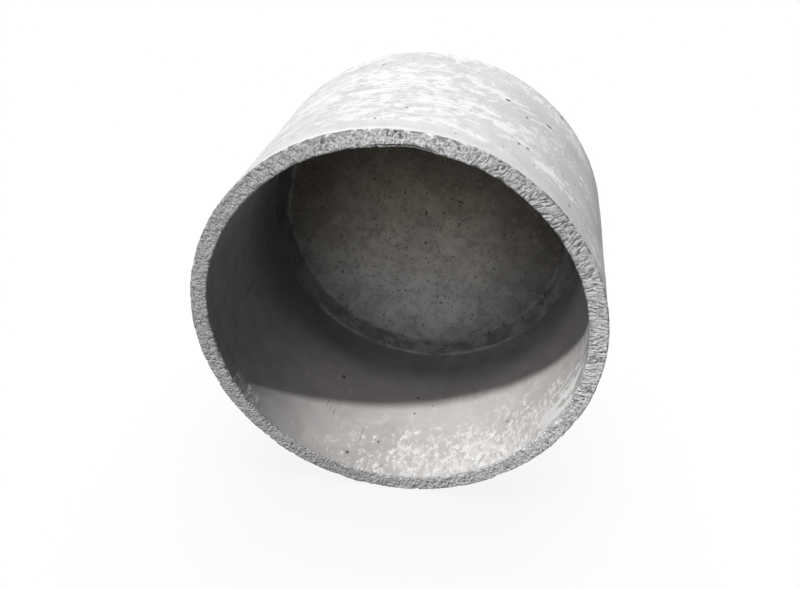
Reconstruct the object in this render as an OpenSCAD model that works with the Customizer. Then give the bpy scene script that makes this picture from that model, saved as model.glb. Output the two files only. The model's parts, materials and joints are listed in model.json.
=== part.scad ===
// Cast concrete ring with one closed end, lying on its side on the floor.
// Millimetres, +Z up. The ring's axis is level and runs along Y, its open mouth faces -Y,
// and the origin is on the floor, under the middle of its length.

/* [Ring] */
// Outside diameter of the wall
outer_d = 1000; // [600:10:1500]
// Thickness of the wall
wall = 40; // [30:1:80]
// Overall length, from the closed end to the mouth
length = 650; // [400:10:1200]

/* [Closed end] */
// Thickness of the slab that closes the end
slab = 40; // [30:1:80]
// Leg of the sloping haunch between the slab and the inside of the wall
haunch = 36; // [5:1:60]
// Radius of the rounded outside edge of the closed end
base_round = 40; // [5:1:60]

/* [Mouth] */
// Leg of the broken arris on both edges of the rim
arris = 4; // [1:0.5:10]

/* [Hidden] */
$fn = 180;
outer_r = outer_d / 2;
inner_r = outer_r - wall;

// The section is drawn with the radius along X and the height above the closed end along Y.

// Outside of the ring: a block whose lower corner is rounded
module outside_section() {
    translate([0, base_round]) square([outer_r, length - base_round]);
    square([outer_r - base_round, length]);
    translate([outer_r - base_round, base_round]) circle(base_round);
}

// The hollow, from the slab up through the mouth, with its lower corner cut by the haunch
module hollow_section() {
    polygon([
        [0, slab],
        [inner_r - haunch, slab],
        [inner_r, slab + haunch],
        [inner_r, length - arris],
        [inner_r + arris, length],
        [0, length]
    ]);
}

// The corner that the arris takes off the outside edge of the rim
module outer_arris_section() {
    polygon([
        [outer_r, length - arris],
        [outer_r, length],
        [outer_r - arris, length]
    ]);
}

module concrete_ring() {
    color("gainsboro")
    translate([0, length / 2, outer_r])
    rotate([90, 0, 0])
    rotate_extrude()
    difference() {
        outside_section();
        hollow_section();
        outer_arris_section();
    }
}

concrete_ring();
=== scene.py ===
"""A cast concrete ring with one closed end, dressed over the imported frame.

The ring lies on its side: its axis is level along Y, the mouth faces -Y and Z is up. Metres throughout.
Angles round the ring are in degrees, from +X towards +Z, so 90 is the top and 270 the floor.
"""

import itertools
import json
from types import SimpleNamespace

import bpy
import numpy as np
from mathutils import Matrix, Vector


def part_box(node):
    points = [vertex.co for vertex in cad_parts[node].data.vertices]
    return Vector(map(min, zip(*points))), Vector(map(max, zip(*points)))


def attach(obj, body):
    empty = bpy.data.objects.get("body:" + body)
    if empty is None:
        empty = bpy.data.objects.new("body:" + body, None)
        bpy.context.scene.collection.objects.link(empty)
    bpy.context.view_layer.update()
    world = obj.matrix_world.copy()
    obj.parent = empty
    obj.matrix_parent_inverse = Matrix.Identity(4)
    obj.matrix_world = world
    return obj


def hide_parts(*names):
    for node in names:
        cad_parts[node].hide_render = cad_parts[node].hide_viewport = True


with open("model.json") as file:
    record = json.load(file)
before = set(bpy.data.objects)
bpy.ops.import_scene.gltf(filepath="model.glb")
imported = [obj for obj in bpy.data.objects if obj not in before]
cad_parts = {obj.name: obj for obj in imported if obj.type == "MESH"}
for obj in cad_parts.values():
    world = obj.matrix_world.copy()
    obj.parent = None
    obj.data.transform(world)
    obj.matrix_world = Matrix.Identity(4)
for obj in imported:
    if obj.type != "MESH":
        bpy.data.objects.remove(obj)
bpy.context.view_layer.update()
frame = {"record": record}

# Sizes, from the frame where it has them and otherwise as in the part's source
NODE = "concrete_ring"
SLAB = 0.040
HAUNCH = 0.036
BASE_ROUND = 0.040

low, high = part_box(NODE)
outer_r = (high.x - low.x) / 2
axis_z = outer_r
mouth_y = low.y
back_y = high.y
bore_mount = next(m for m in frame["record"]["mounts"] if m["name"] == "mouth_bore")
inner_r = bore_mount["dims"]["r_mm"] / 1000
middle_r = (outer_r + inner_r) / 2
slab_y = back_y - SLAB
haunch_y = slab_y - HAUNCH

# Points round the ring: most on the rough rim, and fewest near the centres of the end faces
FINE = 2240
MID = 560
COARSE = 280
CENTRE = 70
angle = np.linspace(0, 2 * np.pi, FINE, endpoint=False)
circle = np.stack([np.cos(angle), np.zeros(FINE), np.sin(angle)], axis=-1)


# Random and smooth shapes

def noise(points, cell, seed):
    """Smooth random values from -1 to 1, one for each point; cell is the size of a bump along each axis."""
    period = 64
    table = np.random.default_rng(seed).uniform(-1, 1, (period, period, period))
    scaled = points / np.asarray(cell)
    base = np.floor(scaled).astype(int)
    part = scaled - base
    part = part * part * (3 - 2 * part)
    total = np.zeros(points.shape[:-1])
    for corner in itertools.product((0, 1), repeat=3):
        weight = np.prod(np.where(corner, part, 1 - part), axis=-1)
        i = (base + corner) % period
        total += weight * table[i[..., 0], i[..., 1], i[..., 2]]
    return total


def ridges(points, cell, seed):
    """Like noise, but with narrow crests, as on torn mortar."""
    return 0.6 - 2 * np.abs(noise(points, cell, seed))


def ramp(values, start, end):
    """0 at start and before, 1 at end and after, smooth between."""
    t = np.clip((values - start) / (end - start), 0, 1)
    return t * t * (3 - 2 * t)


def bump_at(centre_deg, width_deg, power=2):
    """A smooth bump of height 1 about an angle, flatter on top with a higher power."""
    away = (np.degrees(angle) - centre_deg + 180) % 360 - 180
    return np.exp(-(away / width_deg) ** power)


def bumps(wanted):
    """Sum of bumps round the ring, each given as its height, angle and width."""
    return sum(height * bump_at(centre_deg, width_deg) for height, centre_deg, width_deg in wanted)


# The section round the ring: nine stretches between corners that vary a little with the angle

COARSE_CHIP = 0.010
FINE_CHIP = 0.0045
BITE_SIZE = 0.016
# Larger breaks of the rim's inner edge, at the top and low on the left: extra leg, angle and width
INNER_BREAKS = [(0.009, 85, 6), (0.004, 208, 3), (0.004, 216, 3)]


def chipped(radius, plain_leg, bite, seed):
    """Leg of a broken arris round the ring: a small uneven break with larger bites here and there."""
    place = circle * radius
    uneven = 0.5 * noise(place, COARSE_CHIP, seed) + 0.5 * noise(place, FINE_CHIP, seed + 1)
    bites = ramp(noise(place, BITE_SIZE, seed + 2), 0.30, 0.90)
    return plain_leg * (1 + uneven) + bite * bites


outer_leg = chipped(outer_r, plain_leg=0.0018, bite=0.0032, seed=11)
inner_leg = chipped(inner_r, plain_leg=0.0020, bite=0.0055, seed=21) + bumps(INNER_BREAKS)
haunch_uneven = 0.14 * noise(circle * inner_r, 0.11, 31) + 0.12 * noise(circle * inner_r, 0.03, 32)
haunch_leg = HAUNCH * (1 + haunch_uneven)

same = np.ones(FINE)
corners = [
    (0 * same, back_y * same),
    ((outer_r - BASE_ROUND) * same, back_y * same),
    (outer_r * same, (back_y - BASE_ROUND) * same),
    (outer_r * same, mouth_y + outer_leg),
    (outer_r - outer_leg, mouth_y * same),
    (inner_r + inner_leg, mouth_y * same),
    (inner_r * same, mouth_y + inner_leg),
    (inner_r * same, haunch_y * same),
    (inner_r - haunch_leg, slab_y * same),
    (0 * same, slab_y * same),
]

# On both walls the rings of points close up towards the mouth
NEAR_RIM = 0.022
CLOSE_STEPS = [0.0, 0.002, 0.005, 0.009, 0.015]
outside_run = back_y - BASE_ROUND - mouth_y
bore_run = haunch_y - mouth_y


def spread(count, start=0.0, end=0.0):
    """Fractions of a stretch, without its end; start and end are extra fractions close to its two ends."""
    even = np.linspace(0, 1, count, endpoint=False)
    extra = [x for x in (start, start / 3, 1 - end, 1 - end / 3) if 0 < x < 1]
    return np.unique(np.concatenate([even, extra]))


def from_mouth(run, count, end=0.0):
    """Fractions of a wall of this length, counted from the mouth, without its far end."""
    beyond = NEAR_RIM + spread(count, end=end) * (run - NEAR_RIM)
    return np.append(CLOSE_STEPS, beyond) / run


stretches = [
    ("back", spread(12, end=0.03)),
    ("round", spread(6)),
    ("outside", np.append(0.0, 1 - from_mouth(outside_run, 30)[:0:-1])),
    ("outer_arris", spread(3)),
    ("rim", spread(16)),
    ("inner_arris", spread(3)),
    ("bore", from_mouth(bore_run, 26, end=0.02)),
    ("haunch", spread(8, 0.12, 0.12)),
    ("slab", spread(17, start=0.02)),
]

zones = []
section_r = []
section_y = []
for number, (zone, fractions) in enumerate(stretches):
    r0, y0 = corners[number]
    r1, y1 = corners[number + 1]
    for fraction in fractions:
        if zone == "round":
            turn = fraction * np.pi / 2
            section_r.append(r0 + BASE_ROUND * np.sin(turn))
            section_y.append(y1 + BASE_ROUND * np.cos(turn))
        else:
            section_r.append(r0 + (r1 - r0) * fraction)
            section_y.append(y0 + (y1 - y0) * fraction)
        zones.append(zone)
section_r = np.array(section_r)
section_y = np.array(section_y)
zones = np.array(zones)
depth = section_y - mouth_y
points = np.stack([section_r * np.cos(angle), section_y, section_r * np.sin(angle)], axis=-1)

# Outward directions across the section, averaged at its corners
along_r = np.gradient(section_r, axis=0)
along_y = np.gradient(section_y, axis=0)
out_r = -along_y / np.hypot(along_r, along_y)
out_y = along_r / np.hypot(along_r, along_y)


def share_of(*names):
    """1 on the rings of the named stretches and 0 on the others."""
    return np.isin(zones, names).astype(float)[:, None]


def near_mouth(full, none):
    """1 up to the first distance from the mouth and 0 beyond the second."""
    return 1 - ramp(depth, full, none)


def hoop(distance, half_width):
    """A smooth hoop of height 1 at a distance from the mouth."""
    return np.exp(-((depth - distance) / half_width) ** 2)


on_rim = share_of("outer_arris", "rim", "inner_arris")
on_walls = share_of("outside", "bore")
on_skin = share_of("outside", "round")
on_end = share_of("slab", "haunch")

# Waves of the cast faces: the stretches, how far they stand off their true form, a bump's size and a seed
WAVES = [
    (("outside", "round"), 0.0012, (0.24, 0.09, 0.24), 41),
    (("outside", "round"), 0.0005, (0.07, 0.04, 0.07), 42),
    (("bore",), 0.0010, (0.16, 0.12, 0.16), 43),
    (("slab",), 0.0016, 0.13, 44),
    (("slab",), 0.0006, 0.05, 45),
    (("haunch",), 0.0014, 0.022, 46),
    (("haunch",), 0.0020, 0.06, 54),
    (("back",), 0.0010, 0.10, 47),
]
EDGE_WAVE = 0.0007
offset = np.zeros(section_r.shape)
for names, height, bump_size, seed in WAVES:
    offset += share_of(*names) * height * noise(points, bump_size, seed)
offset += on_walls * near_mouth(0, NEAR_RIM) * EDGE_WAVE * noise(points, 0.007, 51)

# The rim is torn mortar: slanting wrinkles across it where it is most torn, and grains elsewhere
WRINKLE_HEIGHT = 0.0022
WRINKLE_SIZE = (0.0048, 0.018, 0.0048)
LUMP_HEIGHT = 0.0006
LUMP_SIZE = 0.008
GRAIN_HEIGHT = 0.0015
GRAIN_SIZE = 0.0050
RIM_WAVE = 0.0010
WANDER = 0.006

lean = 1.1 * noise(circle * middle_r, 0.12, 55)
torn = 0.25 + 0.75 * np.maximum(bump_at(30, 58), 0.6 * bump_at(125, 30))
torn *= 0.75 + 0.35 * noise(circle * middle_r, 0.07, 56)
across = section_r - middle_r
wander = angle + (lean * across + WANDER * noise(points, 0.014, 53)) / middle_r
rim_place = np.stack([middle_r * np.cos(wander), section_r, middle_r * np.sin(wander)], axis=-1)
rim_relief = WRINKLE_HEIGHT * torn * ridges(rim_place, WRINKLE_SIZE, 49)
rim_relief += LUMP_HEIGHT * noise(rim_place, LUMP_SIZE, 50)
rim_relief += GRAIN_HEIGHT * (1.2 - torn) * ridges(rim_place, GRAIN_SIZE, 57)
rim_relief *= 1 - 0.6 * ramp(section_r, outer_r - 0.005, outer_r - 0.001)
offset += on_rim * (RIM_WAVE * noise(points, 0.04, 48) + rim_relief)

# A thin lip of mortar where the haunch meets the wall
LIP_RUN = 0.006
LIP_HEIGHT = 0.0011
LIP_WAVE = 0.0007
lip = share_of("bore", "haunch") * np.exp(-((section_y - haunch_y) / LIP_RUN) ** 2)
offset += lip * (LIP_HEIGHT + LIP_WAVE * noise(points, 0.04, 52))

# The ring is slightly out of round at the mouth, and the inside of the mouth is thicker in places
OUT_OF_ROUND = [(0.0025, 65, 12), (-0.0030, 138, 24), (-0.0030, 318, 34)]
THICK_MOUTH = [(0.0050, 192, 14), (0.0040, 12, 20), (0.0015, 300, 30)]
THICK_RUN = 0.18
to_mouth = 1 - 0.7 * ramp(section_y, mouth_y, back_y)
off_centre = ramp(section_r, 0.05, inner_r)
new_r = section_r + offset * out_r
new_r += bumps(OUT_OF_ROUND) * to_mouth * off_centre
new_r -= bumps(THICK_MOUTH) * share_of("bore", "inner_arris") * near_mouth(0, THICK_RUN)
new_y = section_y + offset * out_y
surface = np.stack([new_r * np.cos(angle), new_y, axis_z + new_r * np.sin(angle)], axis=-1)
surface[..., 2] = np.maximum(surface[..., 2], 0)


# Mesh: rings of points joined in order, with a fan at each end

FINE_DEPTH = 0.0075
MID_DEPTH = 0.030
CENTRE_R = 0.12


def ring_size(row):
    """How many points the ring at this place in the section has."""
    if depth[row].mean() < FINE_DEPTH:
        return FINE
    if depth[row].mean() < MID_DEPTH:
        return MID
    return COARSE if section_r[row].mean() > CENTRE_R else CENTRE


def stitch(a, b):
    """Faces between two rings of point numbers, of which one may have several times as many points."""
    flip = len(a) > len(b)
    few, many = (b, a) if flip else (a, b)
    ratio = len(many) // len(few)
    half = ratio // 2
    faces = []
    for i, here in enumerate(few):
        after = few[(i + 1) % len(few)]
        run = [many[(i * ratio + k) % len(many)] for k in range(ratio + 1)]
        found = [(here, run[k + 1], run[k]) for k in range(half)]
        found += [(after, run[k + 1], run[k]) for k in range(ratio - half, ratio)]
        found.append((here, after, run[half + 1], run[half]) if ratio % 2 else (here, after, run[half]))
        faces += [tuple(reversed(f)) for f in found] if flip else found
    return faces


mesh_points = [surface[0, 0]]
sources = [(0, 0)]
rings = []
for row in range(1, len(zones)):
    columns = range(0, FINE, FINE // ring_size(row))
    rings.append(range(len(mesh_points), len(mesh_points) + len(columns)))
    mesh_points += [surface[row, column] for column in columns]
    sources += [(row, column) for column in columns]
first = rings[0]
last = rings[-1]
end = len(mesh_points)
mesh_points.append((0, slab_y, axis_z))
sources.append((len(zones) - 1, 0))
faces = [(0, first[(i + 1) % len(first)], first[i]) for i in range(len(first))]
for a, b in zip(rings, rings[1:]):
    faces += stitch(a, b)
faces += [(end, last[i], last[(i + 1) % len(last)]) for i in range(len(last))]

mesh = bpy.data.meshes.new("ring_surface")
mesh.from_pydata([tuple(p) for p in mesh_points], [], faces)
mesh.validate()
mesh.polygons.foreach_set("use_smooth", np.ones(len(mesh.polygons), bool))


# What the material needs to know at each point, mostly as shares from 0 to 1

# Outside: white scale on top and in a band beside the rim, which nears the mouth lower down on the right.
# The left and lower sides, the back and a spot beside the scratches have little of it.
BAND_WIDTH = 0.045
band_depth = 0.045 + 0.090 * ramp(np.degrees(angle), 15, 62)
band = bump_at(46, 34) * hoop(band_depth, BAND_WIDTH)
far_side = np.maximum(on_skin * bump_at(236, 88, 4), share_of("back"))
calm_spot = share_of("outside") * bump_at(56, 6) * hoop(0.395, 0.045)

# Inside: white bloom low at the mouth; painted shade on the wall except low down near the mouth, where the
# light falls; and painted shade on the slab away from its lit middle
bloom_right = bump_at(298, 42) * near_mouth(0.04, 0.31)
bloom_left = 0.5 * bump_at(210, 9) * near_mouth(0.02, 0.08)
lit_lower_wall = bump_at(288, 70, 4) * near_mouth(0.34, 0.50)
from_lit_middle = np.hypot(points[..., 0] + 0.05, points[..., 2] + 0.16)
past_haunch = inner_r - haunch_leg - section_r
smeared = share_of("haunch") + share_of("slab") * 0.35 * (1 - ramp(past_haunch, 0, 0.018))

# Rim: painted light and shade round it, lighter on top and on the right and darker low on the left, and
# painted shade in notches along its two edges
RELIEF_RANGE = 0.0062
MEAN_RIM_LIGHT = 0.16
RIM_LIGHT_AND_SHADE = [(0.84, 86, 24), (0.54, 338, 55), (-0.36, 222, 50), (0.16, 278, 28)]
from_edge = np.minimum(outer_r - section_r, section_r - inner_r)
edge_gaps = ramp(noise(points, 0.011, 58), -0.25, 0.25)
inner_notches = 0.6 + 0.4 * np.maximum(bump_at(86, 9), bump_at(195, 35))
notched = np.where(section_r > middle_r, 1.0, inner_notches)

fields = {
    "rim": on_rim + on_walls * (1 - ramp(depth - np.minimum(outer_leg, inner_leg), 0, 0.003)),
    # Rim shares: relief for painted highlights and shade, light and shade painted round the ring, and
    # painted shade in notches along the edges
    "relief": on_rim * np.clip(0.5 + rim_relief / RELIEF_RANGE, 0, 1) + 0.5 * (1 - on_rim),
    "torn": torn,
    "tone": MEAN_RIM_LIGHT + bumps(RIM_LIGHT_AND_SHADE),
    "notch": on_rim * edge_gaps * notched * (1 - ramp(from_edge, 0.0022, 0.0050)),
    "cracked": on_rim * bump_at(88, 9, 4),
    "crumbs": on_rim * bump_at(24, 13) * ramp(section_r, middle_r, outer_r - 0.006),
    "crusty": on_skin * bump_at(108, 38, 4),
    "band": share_of("outside") * band,
    "plain": np.maximum(far_side, calm_spot),
    "back": share_of("back") + share_of("round") * ramp(section_y, back_y - BASE_ROUND, back_y),
    "bore": share_of("bore", "haunch"),
    "bloom": share_of("bore") * np.maximum(bloom_right, bloom_left),
    "streaks": share_of("bore") * bump_at(340, 18) * near_mouth(0.06, 0.16),
    # Painted shade: strongest far in on the left, on the inside wall beyond its lit part, and on the slab
    # away from its lit middle
    "deep": share_of("bore") * bump_at(185, 80) * ramp(depth, 0.22, 0.50),
    "damp": share_of("bore") * (1 - lit_lower_wall) + on_end * ramp(from_lit_middle, 0.12, 0.44),
    "lip": lip * (0.2 + 0.8 * bump_at(262, 50, 4)),
    "slab": on_end,
    "haunch": smeared,
    "shaded": smeared * bump_at(172, 45),
    "seam": on_end * np.exp(-(past_haunch / 0.004) ** 2),
    "warm": on_end * ramp(points[..., 2], -0.36, 0.16),
}
rows, columns = np.array(sources).T
for name, values in fields.items():
    layer = mesh.attributes.new(name, "FLOAT", "POINT")
    everywhere = np.broadcast_to(values, section_r.shape)
    layer.data.foreach_set("value", everywhere[rows, columns].astype(np.float32))

ring = bpy.data.objects.new("cast_ring", mesh)
bpy.context.collection.objects.link(ring)


# Material: in its functions g is the graph that nodes are added to, and t holds the surface terms

class Graph:
    """Adds nodes to a node tree and links them."""

    def __init__(self, tree):
        self.tree = tree
        tree.nodes.clear()

    def node(self, kind, inputs=None, **settings):
        made = self.tree.nodes.new(kind)
        for key, value in settings.items():
            setattr(made, key, value)
        return self.joined(made, inputs or {})

    def joined(self, made, inputs):
        """Links or sets the inputs of a node."""
        for key, value in inputs.items():
            if isinstance(value, bpy.types.NodeSocket):
                self.tree.links.new(value, made.inputs[key])
            else:
                made.inputs[key].default_value = value
        return made

    def math(self, operation, a, b=0.0, c=0.0):
        return self.node("ShaderNodeMath", {0: a, 1: b, 2: c}, operation=operation).outputs[0]

    def plus(self, base, value, factor):
        """The base with the value added to it, times a factor."""
        return self.math("MULTIPLY_ADD", value, factor, base)

    def product(self, *factors):
        total = factors[0]
        for factor in factors[1:]:
            total = self.math("MULTIPLY", total, factor)
        return total

    def highest(self, *values):
        top = values[0]
        for value in values[1:]:
            top = self.math("MAXIMUM", top, value)
        return top

    def rest(self, share):
        """What a share leaves of 1."""
        return self.math("SUBTRACT", 1.0, share)

    def length(self, a, b):
        """The length of a line that goes a one way and b across."""
        return self.math("SQRT", self.math("ADD", self.product(a, a), self.product(b, b)))

    def mix(self, share, a, b, blend="MIX"):
        made = self.node("ShaderNodeMix", {0: share}, data_type="RGBA", blend_type=blend)
        return self.joined(made, {6: a, 7: b}).outputs[2]

    def step(self, value, start, end):
        """0 on the near side of start and 1 beyond end."""
        inputs = {0: value, 1: start, 2: end}
        return self.node("ShaderNodeMapRange", inputs, interpolation_type="SMOOTHSTEP").outputs[0]

    def between(self, value, least, most):
        """A value from 0 to 1 brought into a narrower range."""
        return self.node("ShaderNodeMapRange", {0: value, 3: least, 4: most}).outputs[0]

    def attribute(self, name):
        return self.node("ShaderNodeAttribute", attribute_name=name).outputs["Fac"]

    def vector(self, operation, a, b):
        return self.node("ShaderNodeVectorMath", {0: a, 1: b}, operation=operation).outputs[0]

    def joined_xyz(self, x, y, z=0.0):
        return self.node("ShaderNodeCombineXYZ", {0: x, 1: y, 2: z}).outputs[0]

    def noise(self, place, scale, detail=4.0, roughness=0.55, distortion=0.0):
        """Random values about 0.5; scale is bumps per metre, in all directions or along each axis."""
        if isinstance(scale, tuple):
            place = self.vector("MULTIPLY", place, scale)
            scale = 1.0
        inputs = {"Vector": place, "Scale": scale, "Detail": detail, "Roughness": roughness,
                  "Distortion": distortion}
        return self.node("ShaderNodeTexNoise", inputs).outputs[0]


def grey(value, warmth=0.0):
    """A linear grey, warmer towards brown as warmth rises."""
    return (value * (1 + warmth), value, value * (1 - 1.4 * warmth), 1)


def pink(value):
    """A linear grey with a faint pink cast."""
    return (value * 1.05, value, value * 0.98, 1)


# Colours of the outside: the colour in the creases is painted shade, the edge colour a painted highlight,
# and the scale is whiter on the sides than on top to make up for the light
SKIN_DARK = grey(0.63, 0.003)
SKIN_PALE = grey(0.72, 0.003)
SKIN_BLOTCH = grey(0.57)
CREASE_SHADE = grey(0.56)
EDGE_HIGHLIGHT = grey(0.88)
TROWEL_MARK = grey(0.54, 0.01)
SCALE_SIDE = grey(0.95)
SCALE_TOP = grey(0.84)
SCRATCH = grey(0.94)

# Colours of the inside wall: lit colours where the light falls, painted shade colours elsewhere
LIT_WALL_DARK = pink(0.455)
LIT_WALL_PALE = pink(0.55)
LIT_WALL_PATCH = grey(0.46, 0.01)
LIT_WALL_CRUST = pink(0.68)
SHADED_WALL_DARK = grey(0.21)
SHADED_WALL_PALE = grey(0.27)
DEEP_WALL_SHADE = grey(0.10)
BLOOM = grey(0.84, 0.01)
LIP_PALE = grey(0.42, 0.02)

# Colours of the closed end: lit colours in its middle, painted shade colours away from it, and haunch
# colours that are painted shade in the corner between slab and wall
LIT_DARK = grey(0.41)
LIT_PALE = grey(0.56)
SHADE_DARK = grey(0.13)
SHADE_PALE = grey(0.19)
SLAB_BLOTCH = grey(0.16)
SLAB_FLECK = grey(0.52)
SLAB_BROWN = grey(0.74, 0.13)
HAUNCH_DARK = grey(0.13)
HAUNCH_PALE = grey(0.22)
HAUNCH_SHADE = grey(0.06)
SEAM_PALE = grey(0.40)

# Colours of the rim; the pale colour of the stones also makes painted highlights on crests, and the dark
# colours other than the crack's are painted shade
MORTAR = grey(0.66)
STONE_AND_HIGHLIGHT = grey(0.98)
WRINKLE_SHADE = grey(0.20)
GAP_SHADE = grey(0.12)
HOLLOW_SHADE = grey(0.14)
NOTCH_SHADE = grey(0.10)
CRACK_DARK = grey(0.05)
RIM_SHADE = grey(0.21)

# Colours of what lies over all
SPECK = grey(0.36)
HOLE = grey(0.06, 0.05)


def spots(g, place, scale, dimensions, spared, widest):
    """1 inside scattered spots, at most one in each cell.

    scale is cells per metre, spared the share of cells without a spot, and widest a spot's reach in cells.
    """
    inputs = {"Vector": place, "Scale": scale}
    cells = g.node("ShaderNodeTexVoronoi", inputs, voronoi_dimensions=dimensions)
    chance = g.node("ShaderNodeSeparateColor", {0: cells.outputs["Color"]}).outputs[0]
    sizes = {0: chance, 1: spared, 2: 1.0, 3: widest * 0.3, 4: widest}
    reach = g.node("ShaderNodeMapRange", sizes).outputs[0]
    inside = g.step(g.math("SUBTRACT", reach, cells.outputs["Distance"]), 0.0, widest * 0.3)
    return g.product(inside, g.math("GREATER_THAN", chance, spared))


# Single marks on a wall: angle, distance from the mouth, half length round the ring, half width along it,
# and how far they slant along it for each metre round it
SCRATCHES = [
    (59.8, 0.414, 0.036, 0.0075, -0.68),
    (57.1, 0.398, 0.034, 0.0060, -0.72),
    (54.5, 0.374, 0.030, 0.0065, -0.75),
]
OUTSIDE_HOLES = [
    (63.8, 0.390, 0.007, 0.0075, -0.3),
    (57.2, 0.354, 0.005, 0.0060, -0.3),
    (49.2, 0.418, 0.008, 0.0060, -0.3),
    (58.7, 0.155, 0.004, 0.0060, 0.0),
    (55.9, 0.162, 0.005, 0.0060, 0.0),
    (31.3, 0.612, 0.012, 0.0060, -0.2),
    (26.4, 0.608, 0.009, 0.0060, 0.0),
    (23.6, 0.597, 0.012, 0.0050, -0.2),
    (43.7, 0.593, 0.008, 0.0050, 0.2),
    (40.4, 0.071, 0.004, 0.0050, 0.0),
    (95.4, 0.070, 0.003, 0.0050, 0.0),
    (88.9, 0.145, 0.005, 0.0040, 0.0),
    (103.0, 0.520, 0.003, 0.0060, 0.0),
]
BORE_HOLES = [
    (242.8, 0.344, 0.006, 0.0070, 0.0),
    (252.9, 0.053, 0.004, 0.0050, 0.0),
    (271.9, 0.344, 0.004, 0.0050, 0.0),
    (272.0, 0.270, 0.003, 0.0040, 0.0),
    (262.1, 0.125, 0.003, 0.0040, 0.0),
    (309.0, 0.152, 0.005, 0.0030, 0.0),
    (201.1, 0.353, 0.003, 0.0060, 0.0),
    (190.6, 0.288, 0.0016, 0.0620, 0.0),
]
BORE_SCRATCHES = [
    (240.7, 0.204, 0.0012, 0.0200, 0.0),
    (242.2, 0.193, 0.0010, 0.0170, 0.0),
    (243.9, 0.182, 0.0012, 0.0140, 0.0),
    (255.6, 0.139, 0.0010, 0.0260, 0.0),
]


def marks(g, t, radius, wanted):
    """1 inside the single marks of one wall."""
    total = 0.0
    for degrees, distance, half_length, half_width, slant in wanted:
        middle = np.radians(degrees if degrees < 180 else degrees - 360)
        run = g.math("MULTIPLY_ADD", t.turn, radius, -middle * radius)
        drift = g.plus(distance, run, slant)
        u = g.math("DIVIDE", run, half_length)
        v = g.math("DIVIDE", g.math("SUBTRACT", t.along, drift), half_width)
        inside = g.step(g.math("ADD", g.length(u, v), t.ragged), 1.15, 0.85)
        total = g.highest(inside, total)
    return total


def surface_terms(g):
    """Places, shares and random values that several of the finishes use."""
    place = g.node("ShaderNodeTexCoord").outputs["Object"]
    x, y, z = g.node("ShaderNodeSeparateXYZ", {0: place}).outputs
    up = g.math("SUBTRACT", z, axis_z)
    from_axis = g.length(x, up)
    t = SimpleNamespace(**{name: g.attribute(name) for name in fields})
    t.place = place
    t.turn = g.math("ARCTAN2", up, x)
    t.along = g.math("SUBTRACT", y, mouth_y)
    t.from_axis = from_axis
    t.round_axis = g.joined_xyz(from_axis, x, up)
    round_rim = g.joined_xyz(from_axis, g.math("DIVIDE", x, from_axis), g.math("DIVIDE", up, from_axis))
    t.wrinkles = g.noise(round_rim, (65.0, 180.0 * middle_r, 180.0 * middle_r), 2.0, 0.6, 0.6)
    t.mottle = g.noise(place, 7.0, 6.0, 0.6)
    t.patches = g.noise(place, 15.0, 6.0, 0.6)
    t.blotches = g.noise(place, 38.0, 6.0, 0.68)
    t.flecks = g.noise(place, 75.0, 4.0, 0.7)
    t.pits = g.noise(place, 110.0, 2.0, 0.6)
    t.speckle = g.noise(place, 170.0, 3.0, 0.7)
    t.stones = g.noise(place, 185.0, 2.0, 0.6)
    t.drawn = g.noise(place, (16.0, 44.0, 16.0), 4.0, 0.65, 0.3)
    t.crust = g.noise(place, (24.0, 17.0, 24.0), 2.6, 0.62, 0.4)
    t.grit = g.noise(place, (80.0, 46.0, 80.0), 3.0, 0.62, 0.6)
    t.ragged = g.math("ADD", t.flecks, g.plus(-1.25, t.speckle, 1.5))
    bend = g.node("ShaderNodeTexNoise", {"Vector": place, "Scale": 140.0, "Detail": 2.0}).outputs["Color"]
    t.bent = g.vector("ADD", place, g.vector("MULTIPLY", bend, (0.005, 0.005, 0.005)))
    t.on_bore = g.product(t.bore, g.rest(t.slab))
    t.on_outside = g.rest(g.highest(t.bore, t.slab, t.rim))
    return t


def white_scale(g, t):
    """Shares of white scale on the outside, and of the skin that lies off the clean strip at the rim."""
    bands = g.math("SUBTRACT", g.noise(t.place, (3.5, 11.0, 3.5), 4.0, 0.6), 0.5)
    bias = g.plus(g.product(bands, 0.8), t.crusty, 0.12)
    bias = g.plus(bias, t.plain, -0.06)
    bias = g.plus(bias, t.band, 0.14)
    crust = g.math("ADD", g.noise(t.place, (30.0, 24.0, 30.0), 6.0, 0.68, 0.5), bias)
    drawn = g.plus(t.drawn, bias, 0.5)
    flakes = g.plus(g.plus(t.grit, t.plain, -0.06), bands, 0.5)
    thin = g.product(g.step(crust, 0.48, 0.68), 0.40)
    thick = g.highest(g.step(crust, 0.615, 0.645), g.step(drawn, 0.60, 0.63), g.step(flakes, 0.595, 0.62))
    scale = g.highest(thin, thick)
    from_rim = g.plus(t.along, t.patches, 0.06)
    off_rim = g.highest(g.step(from_rim, 0.075, 0.105), g.step(t.band, 0.2, 0.5))
    return g.product(scale, g.between(off_rim, 0.15, 1.0), g.between(t.plain, 1.0, 0.45)), off_rim


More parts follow.
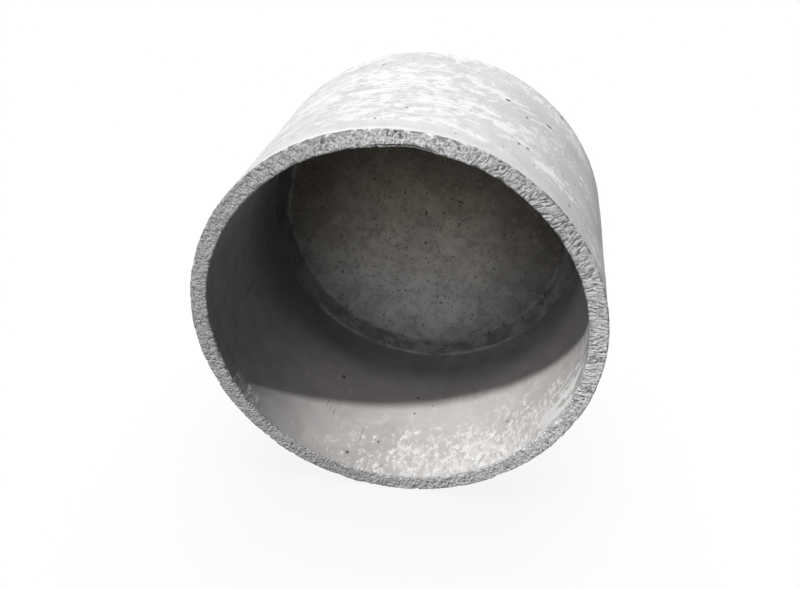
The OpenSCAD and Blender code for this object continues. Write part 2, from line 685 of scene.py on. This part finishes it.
def outside_finish(g, t):
    """Colour of the pale cement skin, and the share of white scale on it; next to the rim it is clean.
    Creases on top carry painted shade, a strip along the mouth's edge a painted highlight, and the scale is
    painted greyer on top, where the light is strongest.
    """
    scale, off_rim = white_scale(g, t)
    broken = g.between(g.step(t.speckle, 0.44, 0.54), 0.45, 1.0)
    scratches = g.product(marks(g, t, outer_r, SCRATCHES), broken)
    scale = g.highest(scale, scratches)
    skin = g.mix(g.step(t.mottle, 0.35, 0.65), SKIN_DARK, SKIN_PALE)
    trowelled = g.step(g.noise(t.round_axis, (70.0, 4.0, 4.0), 5.0, 0.6), 0.42, 0.62)
    skin = g.mix(g.product(trowelled, t.back, 0.35), skin, TROWEL_MARK)
    skin = g.mix(g.product(g.step(t.blotches, 0.50, 0.70), 0.45), skin, SKIN_BLOTCH)
    # The white scale is painted whiter on the sides, where less light falls, than on top.
    skin = g.mix(scale, skin, g.mix(t.crusty, SCALE_SIDE, SCALE_TOP))
    # Painted shade in thin creases of the skin on top.
    off_crease = g.math("SUBTRACT", g.noise(t.place, (9.0, 36.0, 9.0), 3.0, 0.58, 0.3), 0.5)
    crease_shade = g.step(g.math("ABSOLUTE", off_crease), 0.045, 0.015)
    crease_shade = g.product(crease_shade, off_rim, t.crusty, g.between(g.step(t.blotches, 0.40, 0.56), 0.25, 1.0))
    skin = g.mix(g.product(crease_shade, 0.9), skin, CREASE_SHADE)
    # A painted highlight on a strip of skin along the mouth's outer edge, strongest on top.
    edge_highlight = g.step(g.plus(t.along, t.flecks, 0.03), 0.042, 0.026)
    skin = g.mix(g.product(edge_highlight, g.between(t.crusty, 0.25, 0.7)), skin, EDGE_HIGHLIGHT)
    return g.mix(scratches, skin, SCRATCH), scale


def bore_finish(g, t):
    """Colour of the inside wall: faintly pink where the light falls, darker grey as painted shade
    elsewhere, darkest far in on the left, with white bloom at the mouth.
    """
    cloud = g.plus(g.plus(t.grit, t.crust, 0.40), t.bloom, 0.19)
    soft = g.product(g.step(cloud, 0.72, 0.92), 0.35)
    crisp = g.product(g.step(cloud, 0.845, 0.885), g.between(g.step(t.blotches, 0.42, 0.60), 0.5, 1.0))
    bloom = g.highest(soft, crisp, spots(g, t.bent, 60.0, "3D", spared=0.55, widest=0.15))
    bloom = g.product(bloom, g.step(t.bloom, 0.05, 0.35))
    round_lines = g.noise(t.place, (14.0, 42.0, 14.0), 4.0, 0.62, 0.5)
    bloom = g.highest(bloom, g.product(g.step(round_lines, 0.465, 0.515), t.streaks))
    lit_wall = g.mix(g.step(t.mottle, 0.35, 0.65), LIT_WALL_DARK, LIT_WALL_PALE)
    lit_wall = g.mix(g.product(g.step(t.patches, 0.48, 0.62), 0.35), lit_wall, LIT_WALL_PATCH)
    lit_wall = g.mix(g.product(g.step(t.crust, 0.56, 0.66), 0.35), lit_wall, LIT_WALL_CRUST)
    # Painted shade: darker grey where the light does not reach, darkest far in on the left
    damp = g.mix(g.step(t.patches, 0.3, 0.7), SHADED_WALL_DARK, SHADED_WALL_PALE)
    damp = g.mix(g.product(t.deep, 0.75), damp, DEEP_WALL_SHADE)
    return g.mix(bloom, g.mix(t.damp, lit_wall, damp), BLOOM)


def slab_finish(g, t):
    """Colour of the closed end: clouded grey brown, with painted shade away from its lit middle, browner
    and darker towards the top, and a darker haunch that is painted shade in the corner, with more on the
    left.
    """
    cloud = g.step(t.patches, 0.32, 0.68)
    # Painted shade on the slab away from its lit middle.
    face = g.mix(t.damp, g.mix(cloud, LIT_DARK, LIT_PALE), g.mix(cloud, SHADE_DARK, SHADE_PALE))
    face = g.mix(g.product(g.step(t.blotches, 0.48, 0.62), 0.35), face, SLAB_BLOTCH)
    face = g.mix(g.product(g.step(t.flecks, 0.54, 0.66), 0.25), face, SLAB_FLECK)
    face = g.mix(t.warm, face, SLAB_BROWN, "MULTIPLY")
    # The haunch is painted darker than the slab as shade in the corner, and darker still on the left as
    # more painted shade.
    smear = g.mix(g.step(t.drawn, 0.40, 0.60), HAUNCH_DARK, HAUNCH_PALE)
    smear = g.mix(g.product(t.shaded, 0.85), smear, HAUNCH_SHADE)
    on_haunch = g.step(g.plus(t.haunch, g.math("SUBTRACT", t.blotches, 0.5), 1.2), 0.15, 0.85)
    seam = g.product(t.seam, g.step(t.patches, 0.40, 0.55), 0.4)
    return g.mix(seam, g.mix(on_haunch, face, smear), SEAM_PALE)


# Radius of the crack that runs along the top of the rim, close to the bore
CRACK_R = inner_r + 0.010


def rim_finish(g, t):
    """Colour of the bare mortar of the rim: pale stones, painted highlights on crests, painted shade in
    wrinkles, gaps, hollows and notches, and painted light and shade round the ring, darker low on the left.
    """
    rough = g.between(g.step(t.patches, 0.42, 0.56), 0.35, 1.0)
    bare = g.mix(g.step(t.stones, 0.42, 0.58), MORTAR, STONE_AND_HIGHLIGHT)
    # Painted highlights on crests, then painted shade in wrinkle valleys, in low spots between stones and
    # in hollows.
    bare = g.mix(g.product(g.step(t.relief, 0.52, 0.62), 0.75), bare, STONE_AND_HIGHLIGHT)
    bare = g.mix(g.product(g.step(t.wrinkles, 0.44, 0.36), t.torn, 0.8), bare, WRINKLE_SHADE)
    bare = g.mix(g.product(g.step(t.stones, 0.39, 0.33), rough, 0.85), bare, GAP_SHADE)
    bare = g.mix(g.product(g.step(t.relief, 0.44, 0.24), rough, 0.85), bare, HOLLOW_SHADE)
    bare = g.mix(g.product(t.crumbs, g.step(t.stones, 0.44, 0.54)), bare, STONE_AND_HIGHLIGHT)
    # Painted shade in notches along the edges.
    bare = g.mix(g.product(t.notch, 0.75), bare, NOTCH_SHADE)
    off_crack = g.plus(g.math("SUBTRACT", t.from_axis, CRACK_R), t.flecks, 0.008)
    crack = g.product(g.step(g.math("ABSOLUTE", off_crack), 0.0034, 0.0014), t.cracked)
    bare = g.mix(g.product(crack, 0.9), bare, CRACK_DARK)
    # Painted light and shade round the ring: lighter on top and on the right, darker low on the left.
    return g.mix(t.tone, g.mix(0.58, bare, RIM_SHADE), bare)


def air_holes(g, t):
    """1 inside air holes: few on the walls and the back, many on the slab, and the single marks."""
    bent_x, _, bent_z = g.node("ShaderNodeSeparateXYZ", {0: t.bent}).outputs
    facing = g.joined_xyz(bent_x, bent_z)
    on_walls = g.highest(t.on_bore, t.on_outside)
    few = g.product(spots(g, t.bent, 30.0, "3D", spared=0.80, widest=0.12), on_walls, g.rest(t.rim))
    wide = spots(g, facing, 19.0, "2D", spared=0.45, widest=0.095)
    small = spots(g, facing, 47.0, "2D", spared=0.65, widest=0.13)
    many = g.product(g.highest(wide, small, g.step(t.pits, 0.655, 0.69)), t.slab)
    behind = g.product(spots(g, facing, 15.0, "2D", spared=0.45, widest=0.060), t.back)
    outside_marks = g.product(marks(g, t, outer_r, OUTSIDE_HOLES), t.on_outside)
    bore_marks = g.product(marks(g, t, inner_r, BORE_HOLES), t.on_bore)
    scratches = g.product(marks(g, t, inner_r, BORE_SCRATCHES), t.on_bore, 0.65)
    return g.highest(few, many, behind, outside_marks, bore_marks, scratches)


def concrete_material():
    """Weathered concrete: one finish for each stretch of the section, with holes and fine bump over all."""
    material = bpy.data.materials.new("weathered_concrete")
    material.use_nodes = True
    g = Graph(material.node_tree)
    t = surface_terms(g)
    outside, scale = outside_finish(g, t)
    holes = air_holes(g, t)

    colour = g.mix(t.bore, outside, bore_finish(g, t))
    colour = g.mix(t.slab, colour, slab_finish(g, t))
    broken_lip = g.product(g.step(t.lip, 0.3, 0.9), g.step(t.patches, 0.40, 0.55), 0.5)
    colour = g.mix(broken_lip, colour, LIP_PALE)
    colour = g.mix(t.rim, colour, rim_finish(g, t))
    colour = g.mix(g.product(g.step(t.speckle, 0.60, 0.75), 0.25), colour, SPECK)
    colour = g.mix(g.product(holes, 0.80), colour, HOLE)

    height = g.plus(g.product(t.speckle, 0.6), t.stones, g.product(t.rim, 2.0))
    height = g.plus(height, t.wrinkles, g.product(t.rim, 3.0))
    height = g.plus(height, holes, -2.0)
    height = g.plus(height, scale, g.product(t.on_outside, 1.4))
    height = g.plus(height, t.drawn, g.product(t.haunch, 2.0))
    bump = g.node("ShaderNodeBump", {"Strength": 0.6, "Distance": 0.0015, "Height": height})

    shader = g.node("ShaderNodeBsdfPrincipled", {
        "Base Color": colour, "Roughness": g.between(t.flecks, 0.82, 1.0), "Specular IOR Level": 0.25,
        "Normal": bump.outputs[0]})
    g.node("ShaderNodeOutputMaterial", {"Surface": shader.outputs[0]})
    return material


mesh.materials.append(concrete_material())
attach(ring, "root")
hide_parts(NODE)


# Floor and light

FLOOR_SHOWN = grey(0.85)
FLOOR_BOUNCE = grey(0.30)
FLOOR_GLOW = 0.90
FLOOR_HALF = 20.0
FLOOR_Z = -0.0005
FILL = 0.05
WHITE = (1, 1, 1, 1)


def background_share(g):
    """1 for rays that show the background, and 0 for those that light the object."""
    path = g.node("ShaderNodeLightPath").outputs
    return g.highest(path["Is Camera Ray"], path["Is Glossy Ray"], path["Is Transmission Ray"])


def floor_material():
    """White to the camera, with a faint shadow; to everything else a floor that sends back little light."""
    material = bpy.data.materials.new("studio_floor")
    material.use_nodes = True
    g = Graph(material.node_tree)
    shown = background_share(g)
    matt = g.node("ShaderNodeBsdfDiffuse", {"Color": g.mix(shown, FLOOR_BOUNCE, FLOOR_SHOWN)}).outputs[0]
    white = g.node("ShaderNodeEmission", {"Strength": 1.0}).outputs[0]
    both = g.node("ShaderNodeMixShader", {0: g.product(shown, FLOOR_GLOW), 1: matt, 2: white})
    g.node("ShaderNodeOutputMaterial", {"Surface": both.outputs[0]})
    return material


floor_mesh = bpy.data.meshes.new("floor")
floor_signs = ((-1, -1), (1, -1), (1, 1), (-1, 1))
floor_corners = [(x * FLOOR_HALF, y * FLOOR_HALF, FLOOR_Z) for x, y in floor_signs]
floor_mesh.from_pydata(floor_corners, [], [(0, 1, 2, 3)])
floor_mesh.materials.append(floor_material())
floor = bpy.data.objects.new("floor", floor_mesh)
bpy.context.collection.objects.link(floor)

world = bpy.data.worlds.new("studio")
world.use_nodes = True
bpy.context.scene.world = world
g = Graph(world.node_tree)
fill = g.node("ShaderNodeBackground", {"Color": WHITE, "Strength": FILL}).outputs[0]
white = g.node("ShaderNodeBackground", {"Color": WHITE, "Strength": 1.0}).outputs[0]
both = g.node("ShaderNodeMixShader", {0: background_share(g), 1: fill, 2: white})
g.node("ShaderNodeOutputWorld", {"Surface": both.outputs[0]})


def add_sun(name, lit, towards, energy, spread_deg):
    """A distant lamp for one object; towards points to the lamp, and a wide spread makes it soft."""
    lamp = bpy.data.lights.new(name, "SUN")
    lamp.energy = energy
    lamp.angle = np.radians(spread_deg)
    lamp_object = bpy.data.objects.new(name, lamp)
    lamp_object.rotation_euler = Vector(towards).to_track_quat("Z", "Y").to_euler()
    bpy.context.collection.objects.link(lamp_object)
    receivers = bpy.data.collections.new(name + "_receivers")
    receivers.objects.link(lit)
    lamp_object.light_linking.receiver_collection = receivers


# The key comes from the upper left in front and throws the shadow of the mouth's edge across the inside.
# One soft lamp comes from the right and behind and opens the side, a weak one in front reaches the slab,
# and another lights the back. The floor has a lamp of its own, wide and a little behind, so that the shadow
# is soft and lies under the mouth.
add_sun("key", ring, towards=(-0.334, -0.335, 0.881), energy=2.95, spread_deg=3.0)
add_sun("soft_side", ring, towards=(0.74, 0.42, 0.52), energy=0.85, spread_deg=50.0)
add_sun("soft_front", ring, towards=(-0.15, -0.81, 0.57), energy=0.60, spread_deg=40.0)
add_sun("soft_back", ring, towards=(-0.40, 0.89, 0.20), energy=0.70, spread_deg=50.0)
add_sun("above_floor", floor, towards=(0.0, 0.25, 0.97), energy=3.75, spread_deg=60.0)

# Camera, as found from the rim and the outline in the photograph
CAMERA_PLACE = (0.2913, -1.9316, 1.5789)
CAMERA_RIGHT = Vector((0.98592, 0.16724, 0.0))
CAMERA_UP = Vector((-0.08576, 0.50558, 0.85851))
camera = bpy.data.cameras.new("camera")
camera.sensor_fit = "HORIZONTAL"
camera.sensor_width = 36.0
camera.lens = 37.15
camera_turn = Matrix((CAMERA_RIGHT, CAMERA_UP, CAMERA_RIGHT.cross(CAMERA_UP))).transposed().to_4x4()
camera_object = bpy.data.objects.new("camera", camera)
camera_object.matrix_world = Matrix.Translation(CAMERA_PLACE) @ camera_turn
bpy.context.collection.objects.link(camera_object)
bpy.context.scene.camera = camera_object
bpy.context.scene.view_settings.view_transform = "Standard"
